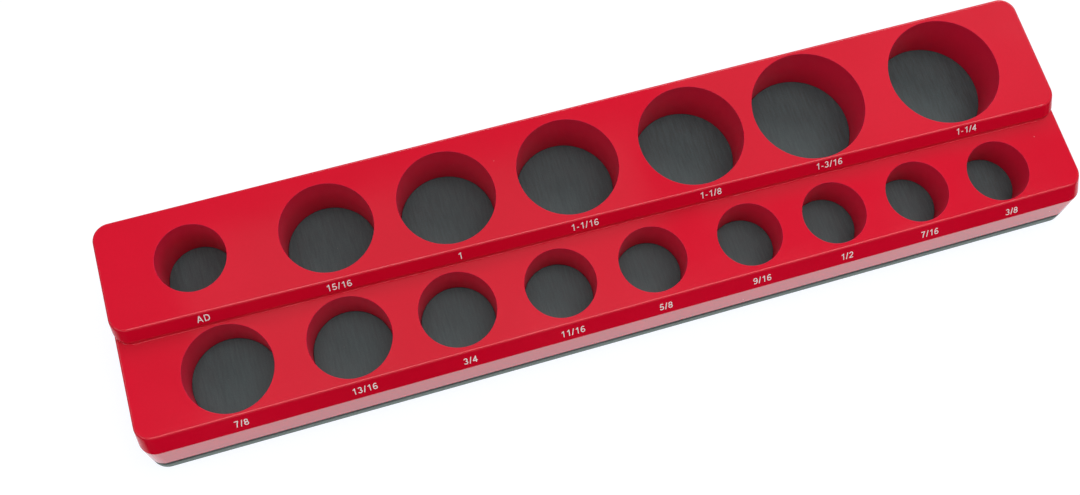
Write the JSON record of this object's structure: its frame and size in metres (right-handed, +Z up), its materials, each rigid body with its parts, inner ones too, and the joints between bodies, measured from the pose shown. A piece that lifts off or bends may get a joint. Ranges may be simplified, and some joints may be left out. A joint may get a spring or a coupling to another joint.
{
  "type": "magnetic socket holder",
  "caption": "Stepped moulded plastic holder with rows of round magnetic pockets for drive sockets, slanted faces for size numbers, a steel keeper plate and a magnetic base sheet.",
  "frame": {"origin": "middle of the foot, on the bench surface", "axes": "+X along the rows of pockets to the right, +Y from the label faces to the back, +Z up"},
  "size_m": [0.3438, 0.0806, 0.0311],
  "materials": {
    "red_plastic": "glossy moulded red, slightly scuffed on top",
    "black_steel": "thin black coat on sheet steel",
    "sheet_grey_green": "matt magnetic rubber sheet",
    "magnet_grey_green": "matt bonded magnet with faint streaks",
    "zinc_plated_steel": "bright zinc plate"
  },
  "bodies": {
    "root": {"holder_body": "red_plastic", "keeper_plate": "black_steel", "base_magnet_sheet": "sheet_grey_green", "pocket_magnet_ad": "magnet_grey_green", "pocket_magnet_15_16": "magnet_grey_green", "pocket_magnet_1": "magnet_grey_green", "pocket_magnet_1_1_16": "magnet_grey_green", "pocket_magnet_1_1_8": "magnet_grey_green", "pocket_magnet_1_3_16": "magnet_grey_green", "pocket_magnet_1_1_4": "magnet_grey_green", "pocket_magnet_7_8": "magnet_grey_green", "pocket_magnet_13_16": "magnet_grey_green", "pocket_magnet_3_4": "magnet_grey_green", "pocket_magnet_11_16": "magnet_grey_green", "pocket_magnet_5_8": "magnet_grey_green", "pocket_magnet_9_16": "magnet_grey_green", "pocket_magnet_1_2": "magnet_grey_green", "pocket_magnet_7_16": "magnet_grey_green", "pocket_magnet_3_8": "magnet_grey_green", "plate_screw_1": "zinc_plated_steel", "plate_screw_2": "zinc_plated_steel", "plate_screw_3": "zinc_plated_steel", "plate_screw_4": "zinc_plated_steel", "plate_screw_5": "zinc_plated_steel", "plate_screw_6": "zinc_plated_steel", "plate_screw_7": "zinc_plated_steel", "plate_screw_8": "zinc_plated_steel"}
  },
  "joints": []
}
